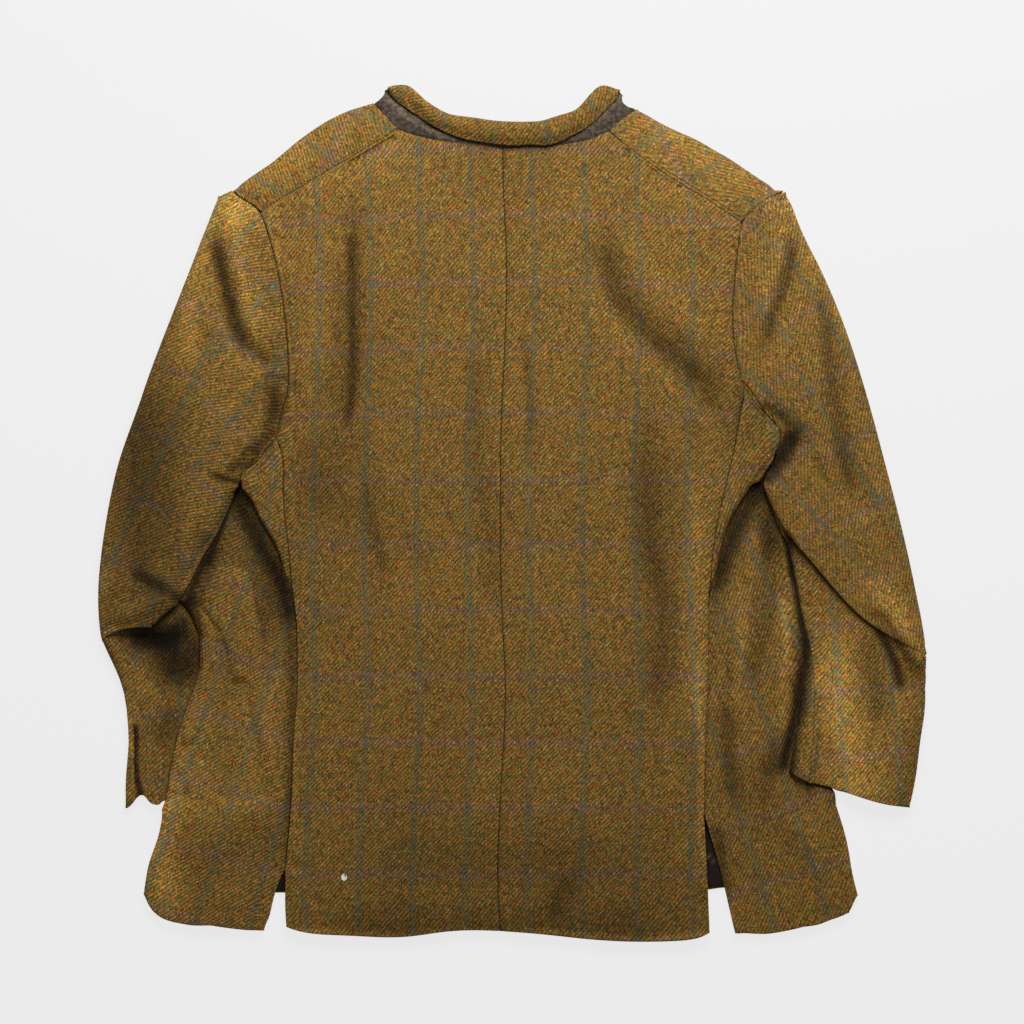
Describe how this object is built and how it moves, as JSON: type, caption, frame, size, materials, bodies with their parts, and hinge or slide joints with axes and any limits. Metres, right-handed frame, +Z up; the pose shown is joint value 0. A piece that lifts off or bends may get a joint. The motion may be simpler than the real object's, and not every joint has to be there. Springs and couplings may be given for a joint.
{
  "type": "tweed coat",
  "caption": "Single-breasted tweed sport coat laid flat face down: two-piece sleeves, centre back seam, double side vents and a felt-lined turned-down collar.",
  "frame": {"origin": "under the middle of the coat's bounding box, on the surface that it lies on", "axes": "+X toward the wearer's right side, +Y from the hem toward the collar, +Z up from the surface, out of the back"},
  "size_m": [0.7924, 0.8206, 0.0346],
  "materials": {
    "tweed": "brown-olive woollen twill with mustard, orange, teal and purple flecks and a faint green and purple overcheck",
    "melton_felt": "dense dark grey-brown felt",
    "lining_sateen": "smooth dark brown lining with a soft sheen",
    "horn_button": "dark horn, half polished"
  },
  "bodies": {
    "root": {"back_left": "tweed", "back_right": "tweed", "side_left": "tweed", "side_right": "tweed", "front_left": "tweed", "front_right": "tweed", "under_sleeve_left": "tweed", "under_sleeve_right": "tweed", "top_sleeve_left": "tweed", "top_sleeve_right": "tweed", "collar": "tweed", "undercollar": "melton_felt", "lining_left": "lining_sateen", "lining_right": "lining_sateen", "cuff_button_1": "horn_button", "cuff_button_2": "horn_button", "cuff_button_3": "horn_button"}
  },
  "joints": []
}
